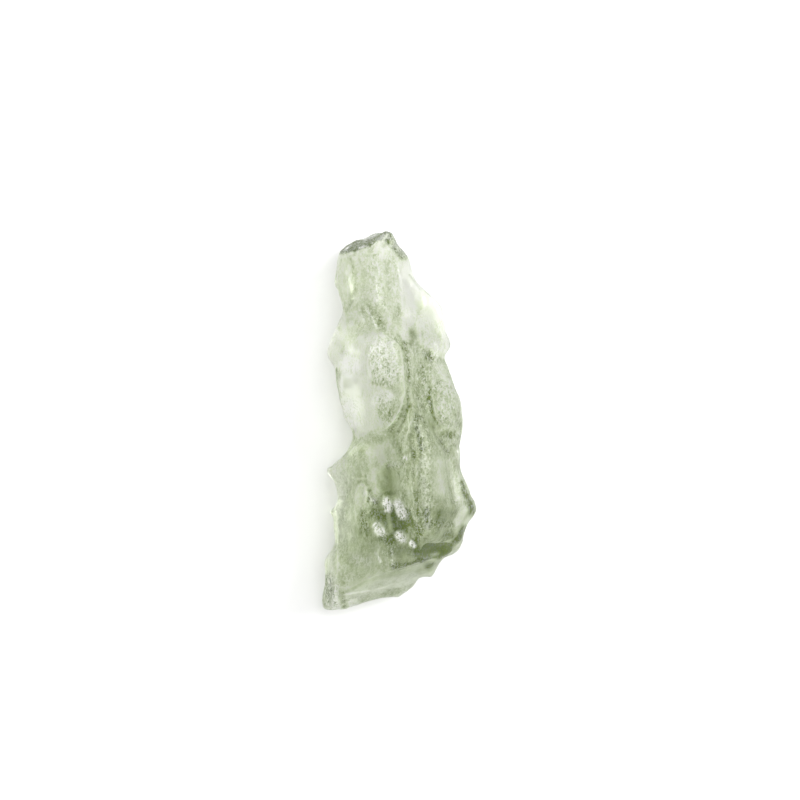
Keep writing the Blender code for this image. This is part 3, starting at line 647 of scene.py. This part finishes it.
def evened(solid, step):
    """The solid's shape in small even quads, with folds and overlaps taken out, as a new bmesh."""
    data = bpy.data.meshes.new("blank")
    solid.to_mesh(data)
    solid.free()
    blank = bpy.data.objects.new("blank", data)
    bpy.context.scene.collection.objects.link(blank)
    modifier = blank.modifiers.new("even", "REMESH")
    modifier.mode = "VOXEL"
    modifier.voxel_size = step
    bpy.context.view_layer.update()
    graph = bpy.context.evaluated_depsgraph_get()
    even = bmesh.new()
    even.from_mesh(blank.evaluated_get(graph).to_mesh())
    bpy.data.objects.remove(blank)
    return even


def soft_normals(mesh):
    """Each point's normal on the smoothed skin, so that neighbours move side by side and never cross."""
    soft = mesh.copy()
    smoothed(soft, LAY_PASSES)
    normals = normals_of(soft)
    soft.free()
    return normals


def hollowness(mesh, passes):
    """How far each point lies below the smoothed skin, in mm: above 0 in a groove, and below 0 on a crest."""
    soft = mesh.copy()
    smoothed(soft, passes)
    depth = ((points_of(soft) - points_of(mesh)) * normals_of(mesh)).sum(axis=1)
    soft.free()
    return depth


def faced(normals, fade, side=1.0):
    """How far each point belongs to the front or, with a side of -1, to the back: from 0 to 1."""
    gain, lead = fade
    return np.clip(side * normals[:, 2] * gain + lead, 0.0, 1.0)


def line_gap(points, line):
    """Each point's distance in plan to a broken line."""
    gap = np.full(len(points), np.inf)
    plan = points[:, :2]
    for start, end in zip(line, line[1:]):
        a, b = np.array(start), np.array(end)
        run = b - a
        share = np.clip((plan - a) @ run / (run @ run), 0.0, 1.0)
        gap = np.minimum(gap, np.linalg.norm(plan - a - share[:, None] * run, axis=1))
    return gap


def lifted(points, normals, lift):
    """The front raised by the lift in mm, or lowered where it is below 0."""
    moved = points.copy()
    moved[:, 2] += lift * faced(normals, RELIEF_FADE)
    return moved


def lined(points, normals, lines, sign, strength):
    """Raises or cuts the front along the lines."""
    lift = np.zeros(len(points))
    for half_width, height, line in lines.values():
        share = np.clip(line_gap(points, line) / half_width, 0.0, 1.0)
        lift = np.maximum(lift, height * (1.0 - share**2) ** 2)
    return lifted(points, normals, sign * strength * lift)


def ledged(points, normals, strength):
    """Raises the front on the right of each ledge line, tapering to nothing at the line's ends."""
    lift = np.zeros(len(points))
    plan = points[:, :2]
    for height, reach, line in LEDGES.values():
        ends = np.array(line)
        runs = ends[1:] - ends[:-1]
        lengths = np.linalg.norm(runs, axis=1)
        whole = lengths.sum()
        gap = np.full(len(points), np.inf)
        side = np.zeros(len(points))
        travel = np.zeros(len(points))
        for start, run, length, before in zip(ends, runs, lengths, np.cumsum(lengths) - lengths):
            share = np.clip((plan - start) @ run / length**2, 0.0, 1.0)
            apart = plan - start - share[:, None] * run
            distance = np.linalg.norm(apart, axis=1)
            nearer = distance < gap
            gap[nearer] = distance[nearer]
            side[nearer] = (apart[:, 0] * run[1] - apart[:, 1] * run[0])[nearer]
            travel[nearer] = (before + share * length)[nearer]
        taper = np.clip(np.minimum(travel, whole - travel) / (LEDGE_TAPER * whole), 0.0, 1.0)
        fall = np.clip(1.0 - gap / reach, 0.0, 1.0) ** LEDGE_FALL
        lift = np.maximum(lift, height * fall * taper * (side > 0.0))
    return lifted(points, normals, strength * lift)


def celled(points, normals, strength):
    """Cuts the cells into the front, each as a shallow dish whose edge is left crisp."""
    front = faced(normals, RELIEF_FADE)
    moved = points.copy()
    for x, y, half_width, half_length, turn, depth in CELLS.values():
        cos, sin = math.cos(math.radians(turn)), math.sin(math.radians(turn))
        across = ((points[:, 0] - x) * cos + (points[:, 1] - y) * sin) / half_width
        along = ((points[:, 1] - y) * cos - (points[:, 0] - x) * sin) / half_length
        moved[:, 2] -= depth * strength * front * np.clip(1.0 - across**2 - along**2, 0.0, 1.0)
    return moved


def edged(points, normals, strength):
    """Draws the outline out to a corner, or in to a nick, at each of its places."""
    moved = points.copy()
    for amount, reach, place in EDGES.values():
        share = np.clip(1.0 - np.linalg.norm(points[:, :2] - place, axis=1) / reach, 0.0, 1.0)
        moved += normals * (1.0, 1.0, 0.0) * (amount * strength * share)[:, None]
    return moved


def pitted(points, normals, side, kinds, strength, seed):
    """Cuts overlapping round dishes into one side. Where dishes overlap the deepest one shapes the glass."""
    draw = np.random.default_rng(seed)
    facing = faced(normals, PIT_FADE, side)
    for count, smallest, largest, share, stretch in kinds:
        tree = kdtree.KDTree(len(points))
        squeezed = points * np.array((1.0, 1.0 / stretch, 1.0))
        for index, place in enumerate(squeezed):
            tree.insert(place, index)
        tree.balance()
        depth = np.zeros(len(points))
        for centre in draw.integers(0, len(points), count):
            radius = draw.uniform(smallest, largest)
            for _, index, gap in tree.find_range(squeezed[centre], radius):
                cut = radius * share * (1.0 - (gap / radius) ** 2)
                if cut > depth[index]:
                    depth[index] = cut
        points = points - normals * (depth * facing * strength)[:, None]
    return points


def painted(points, strokes, ground=0.0):
    """Lays the strokes over the ground value in order, each fading over the soft part of its half width."""
    value = np.full(len(points), ground)
    for amount, half_width, softness, line in strokes.values():
        inward = np.clip((1.0 - line_gap(points, line) / half_width) / softness, 0.0, 1.0)
        cover = inward * inward * (3.0 - 2.0 * inward)
        value += (amount - value) * cover
    return value


def skin_marks(mesh, points, frosted):
    """What the glass reads at each point: its tone, with painted light and shade; frost; shine, which holds the
    crushed grains and the painted highlights; hollow, which the glass turns into painted shade; and grey.
    """
    normals = normals_of(mesh)
    front = faced(normals, PAINT_FADE)
    steep = np.clip(STEEP_FROM - STEEP_GAIN * np.maximum(normals[:, 2], normals[:, 1]), 0.0, 1.0)
    crushed = {
        name: (1.0, half_width * CHIP_SPREAD, CHIP_SOFTNESS, line)
        for name, (half_width, _, line) in CHIPS.items()
        if name not in PLAIN_CHIPS
    }
    chipped = painted(points, crushed)
    hollow = sum(share * hollowness(mesh, passes) for share, passes in SHADED_HOLLOWS)
    tone = painted(points, TONES, BACK_TONE) * (1.0 - CHIP_TONE_LOSS * chipped)
    tone -= steep * np.clip(tone - SIDE_TONE, 0.0, None)
    return {
        "tone": BACK_TONE + (tone - BACK_TONE) * front,
        "frost": BACK_FROST + (np.maximum(frosted, chipped) - BACK_FROST) * front,
        "shine": np.maximum(chipped, painted(points, GLINTS)) * front * (1.0 - steep),
        "hollow": hollow * (1.0 - CHIP_HOLLOW_LOSS * chipped),
        "grey": painted(points, GREYS) * front,
    }


def attribute(tree, name):
    """One of the skin's marks."""
    node = tree.nodes.new("ShaderNodeAttribute")
    node.attribute_name = name
    return node.outputs["Fac"]


def noise_at(tree, place, scale, detail):
    """A soft cloud of values round 0.5."""
    node = tree.nodes.new("ShaderNodeTexNoise")
    node.inputs["Scale"].default_value = scale
    node.inputs["Detail"].default_value = detail
    tree.links.new(place, node.inputs["Vector"])
    return node.outputs["Fac"]


def grains_at(tree, place, scale):
    """Round grains: a chance value for each, and the distance from its middle."""
    node = tree.nodes.new("ShaderNodeTexVoronoi")
    node.inputs["Scale"].default_value = scale
    tree.links.new(place, node.inputs["Vector"])
    return node.outputs["Color"], node.outputs["Distance"]


def calculated(tree, operation, first, second, third=0.5, clamp=False):
    """A Math node's output. Each value is a socket or a number."""
    node = tree.nodes.new("ShaderNodeMath")
    node.operation = operation
    node.use_clamp = clamp
    for socket, value in zip(node.inputs, (first, second, third)):
        if isinstance(value, (int, float)):
            socket.default_value = value
        else:
            tree.links.new(value, socket)
    return node.outputs["Value"]


def ranged(tree, value, low, high, to_low=0.0, to_high=1.0):
    """The value carried from one range to another, and held at its ends."""
    node = tree.nodes.new("ShaderNodeMapRange")
    node.inputs["From Min"].default_value = low
    node.inputs["From Max"].default_value = high
    node.inputs["To Min"].default_value = to_low
    node.inputs["To Max"].default_value = to_high
    tree.links.new(value, node.inputs["Value"])
    return node.outputs["Result"]


def blended(tree, share, first, second):
    """The first colour, going over to the second by the share. The second is a socket or a colour."""
    node = tree.nodes.new("ShaderNodeMix")
    node.data_type = "RGBA"
    tree.links.new(share, node.inputs["Factor"])
    tree.links.new(first, node.inputs["A"])
    if isinstance(second, tuple):
        node.inputs["B"].default_value = second
    else:
        tree.links.new(second, node.inputs["B"])
    return node.outputs["Result"]


def green_at(tree, tone):
    """The colour that a tone stands for, and its plain grey."""
    ramp = tree.nodes.new("ShaderNodeValToRGB")
    stops = ramp.color_ramp.elements
    for position, colour in GREENS[1:-1]:
        stops.new(position).color = (*colour, 1.0)
    stops[0].color = (*GREENS[0][1], 1.0)
    stops[-1].color = (*GREENS[-1][1], 1.0)
    tree.links.new(tone, ramp.inputs["Fac"])
    plain = tree.nodes.new("ShaderNodeRGBToBW")
    tree.links.new(ramp.outputs["Color"], plain.inputs["Color"])
    return ramp.outputs["Color"], plain.outputs["Val"]


def glass_material(settings):
    """Clear green glass, whose tone, frost and crushed grains follow the skin's marks, with painted light and
    shade in the tone and hollows, and painted white highlights that are made metallic.
    """
    material = bpy.data.materials.new("moldavite_glass_skin")
    material.use_nodes = True
    tree = material.node_tree
    links = tree.links
    shader = tree.nodes["Principled BSDF"]
    shader.inputs["Transmission Weight"].default_value = settings.clearness
    shader.inputs["IOR"].default_value = settings.ior

    place = tree.nodes.new("ShaderNodeTexCoord").outputs["Object"]
    streaks = tree.nodes.new("ShaderNodeMapping")
    streaks.inputs["Scale"].default_value = STREAKS
    links.new(place, streaks.inputs["Vector"])
    speck, speck_middle = grains_at(tree, streaks.outputs["Vector"], SPECK_SCALE)
    fine, fine_middle = grains_at(tree, place, FINE_SCALE)
    cloud = noise_at(tree, streaks.outputs["Vector"], CLOUD_SCALE, CLOUD_DETAIL)
    grain = calculated(tree, "ADD", speck, fine)
    frost = attribute(tree, "frost")

    # Painted shade: the tone is darkened in hollows and lightened on crests.
    tone = calculated(tree, "MULTIPLY_ADD", attribute(tree, "hollow"), HOLLOW_SHADE, attribute(tree, "tone"))
    mottle = calculated(tree, "MULTIPLY_ADD", cloud, *CLOUD_TONE)
    tone = calculated(tree, "MAXIMUM", calculated(tree, "ADD", tone, mottle), 0.0)
    grit_share = calculated(tree, "MULTIPLY_ADD", frost, *GRIT_BY_FROST)
    grit = calculated(tree, "MULTIPLY", ranged(tree, grain, *GRIT_RANGE), grit_share)
    tone = calculated(tree, "ADD", tone, grit)

    # Painted highlights: shining grains turn white and metallic. The white of frosted grains is partly the
    # frost's own and partly painted sparkle.
    shine = calculated(tree, "MULTIPLY", attribute(tree, "shine"), GLINT_GAIN)
    glint = calculated(tree, "MULTIPLY", ranged(tree, grain, *GLINT_RANGE), shine, clamp=True)
    white = calculated(tree, "MULTIPLY", ranged(tree, grain, *WHITE_RANGE), frost, clamp=True)
    white = calculated(tree, "MAXIMUM", calculated(tree, "MULTIPLY", white, WHITE_SHARE), glint)

    green, plain = green_at(tree, tone)
    paint = blended(tree, attribute(tree, "grey"), green, plain)
    paint = blended(tree, white, paint, WHITE)
    links.new(paint, shader.inputs["Base Color"])
    links.new(calculated(tree, "MULTIPLY", glint, GLINT_METAL), shader.inputs["Metallic"])

    rough = ranged(tree, frost, 0.0, 1.0, settings.clear, settings.frosted)
    rough = calculated(tree, "MAXIMUM", rough, calculated(tree, "MULTIPLY", glint, settings.crushed))
    links.new(rough, shader.inputs["Roughness"])

    bump = tree.nodes.new("ShaderNodeBump")
    bump.inputs["Distance"].default_value = GRAIN_DEPTH
    links.new(calculated(tree, "ADD", speck_middle, fine_middle), bump.inputs["Height"])
    links.new(calculated(tree, "MULTIPLY_ADD", frost, *BUMP_BY_FROST, clamp=True), bump.inputs["Strength"])
    links.new(bump.outputs["Normal"], shader.inputs["Normal"])

    absorption = tree.nodes.new("ShaderNodeVolumeAbsorption")
    absorption.inputs["Color"].default_value = (*settings.tint, 1.0)
    absorption.inputs["Density"].default_value = settings.depth_of_tint
    links.new(absorption.outputs["Volume"], tree.nodes["Material Output"].inputs["Volume"])
    return material


class MOLDAVITE_OT_stone(bpy.types.Operator):
    """Builds the stone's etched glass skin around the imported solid"""

    bl_idname = "moldavite.stone"
    bl_label = "Moldavite stone"

    def execute(self, context):
        skin = context.scene.moldavite_skin
        step = skin.step / MM
        mesh = evened(merged_copy(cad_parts[NODE]), step)
        if not mesh.verts:
            raise RuntimeError("the packed solid gave no mesh to work on")
        smoothed(mesh, skin.rounding)
        points = points_of(mesh)
        lay = soft_normals(mesh)
        points = celled(points, lay, skin.relief)
        points = ledged(points, lay, skin.relief)
        points = lined(points, lay, RIMS, 1.0, skin.relief)
        points = lined(points, lay, {**GROOVES, **CHIPS}, -1.0, skin.relief)
        points = edged(points, lay, skin.relief)
        put(mesh, points)

        mesh = evened(mesh, step)
        smoothed(mesh, 1)
        points = points_of(mesh)
        lay = soft_normals(mesh)
        frosted = painted(points, FROST, FRONT_FROST)
        pitting = skin.pitting * (CLEAR_PITTING + (1.0 - CLEAR_PITTING) * frosted)
        points = pitted(points, lay, 1.0, FRONT_PITS.values(), pitting, skin.seed)
        points = pitted(points, lay, -1.0, BACK_PITS.values(), skin.pitting, skin.seed)
        put(mesh, points)
        marks = skin_marks(mesh, points, frosted)
        bmesh.ops.scale(mesh, vec=(MM, MM, MM), verts=mesh.verts)

        data = bpy.data.meshes.new("moldavite_skin")
        mesh.to_mesh(data)
        mesh.free()
        data.shade_smooth()
        for name, values in marks.items():
            data.attributes.new(name, "FLOAT", "POINT").data.foreach_set("value", values.astype(np.float32))
        data.materials.append(glass_material(context.scene.moldavite_glass))
        stone = bpy.data.objects.new("moldavite_skin", data)
        context.scene.collection.objects.link(stone)
        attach(stone, "root")
        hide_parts(NODE)
        return {"FINISHED"}


def floor_laid(scene, tone):
    """The pale floor that the stone lies on."""
    sheet = bmesh.new()
    bmesh.ops.create_grid(sheet, x_segments=1, y_segments=1, size=FLOOR_HALF_WIDTH)
    bmesh.ops.translate(sheet, verts=sheet.verts, vec=(0.0, 0.0, -FLOOR_DROP))
    data = bpy.data.meshes.new("floor")
    sheet.to_mesh(data)
    sheet.free()
    floor = bpy.data.objects.new("floor", data)
    scene.collection.objects.link(floor)
    paper = bpy.data.materials.new("pale_paper")
    paper.use_nodes = True
    shader = paper.node_tree.nodes["Principled BSDF"]
    shader.inputs["Base Color"].default_value = (tone, tone, tone, 1.0)
    shader.inputs["Roughness"].default_value = FLOOR_ROUGHNESS
    shader.inputs["Specular IOR Level"].default_value = FLOOR_SPECULAR
    data.materials.append(paper)


def lights_hung(scene, settings):
    """White light from all round, and the softboxes aimed at the stone."""
    world = bpy.data.worlds.new("soft_room")
    world.use_nodes = True
    background = world.node_tree.nodes["Background"]
    background.inputs["Color"].default_value = (1.0, 1.0, 1.0, 1.0)
    background.inputs["Strength"].default_value = settings.room
    scene.world = world
    for name, (diameter, place) in SOFTBOXES.items():
        light = bpy.data.lights.new(name, "AREA")
        light.shape = "DISK"
        light.size = diameter
        light.energy = getattr(settings, name)
        lamp = bpy.data.objects.new(name, light)
        lamp.location = place
        lamp.rotation_euler = (-lamp.location).to_track_quat("-Z", "Y").to_euler()
        scene.collection.objects.link(lamp)


def camera_set(scene, settings):
    """A long lens straight above the stone."""
    lens = bpy.data.cameras.new("camera")
    lens.sensor_width = SENSOR_MM
    lens.lens = SENSOR_MM * settings.camera_height / settings.field
    lens.clip_start = CLIP_START
    lens.clip_end = CLIP_END
    camera = bpy.data.objects.new("camera", lens)
    camera.location = (0.0, settings.camera_ahead, settings.camera_height)
    scene.collection.objects.link(camera)
    scene.camera = camera
    scene.view_settings.view_transform = "Standard"


class MOLDAVITE_OT_stage(bpy.types.Operator):
    """Sets the pale floor, the soft light and the camera"""

    bl_idname = "moldavite.stage"
    bl_label = "Stage"

    def execute(self, context):
        scene = context.scene
        settings = scene.moldavite_stage
        floor_laid(scene, settings.floor_tone)
        lights_hung(scene, settings)
        camera_set(scene, settings)
        return {"FINISHED"}


class MOLDAVITE_PT_panel(bpy.types.Panel):
    """Lists the stone's and the stage's settings"""

    bl_idname = "MOLDAVITE_PT_panel"
    bl_label = "Moldavite"
    bl_space_type = "VIEW_3D"
    bl_region_type = "UI"
    bl_category = "Moldavite"

    def draw(self, context):
        for owner, operator in (
            ("moldavite_skin", "moldavite.stone"),
            ("moldavite_glass", None),
            ("moldavite_stage", "moldavite.stage"),
        ):
            group = getattr(context.scene, owner)
            box = self.layout.box()
            for name in group.bl_rna.properties.keys():
                if name not in {"rna_type", "name"}:
                    box.prop(group, name)
            if operator:
                box.operator(operator)


CLASSES = (
    MoldaviteSkin,
    MoldaviteGlass,
    MoldaviteStage,
    MOLDAVITE_OT_stone,
    MOLDAVITE_OT_stage,
    MOLDAVITE_PT_panel,
)


def register():
    for item in CLASSES:
        bpy.utils.register_class(item)
    bpy.types.Scene.moldavite_skin = PointerProperty(type=MoldaviteSkin)
    bpy.types.Scene.moldavite_glass = PointerProperty(type=MoldaviteGlass)
    bpy.types.Scene.moldavite_stage = PointerProperty(type=MoldaviteStage)


def unregister():
    del bpy.types.Scene.moldavite_stage
    del bpy.types.Scene.moldavite_glass
    del bpy.types.Scene.moldavite_skin
    for item in reversed(CLASSES):
        bpy.utils.unregister_class(item)


def main():
    register()
    bpy.ops.moldavite.stone()
    bpy.ops.moldavite.stage()


if __name__ == "__main__":
    main()
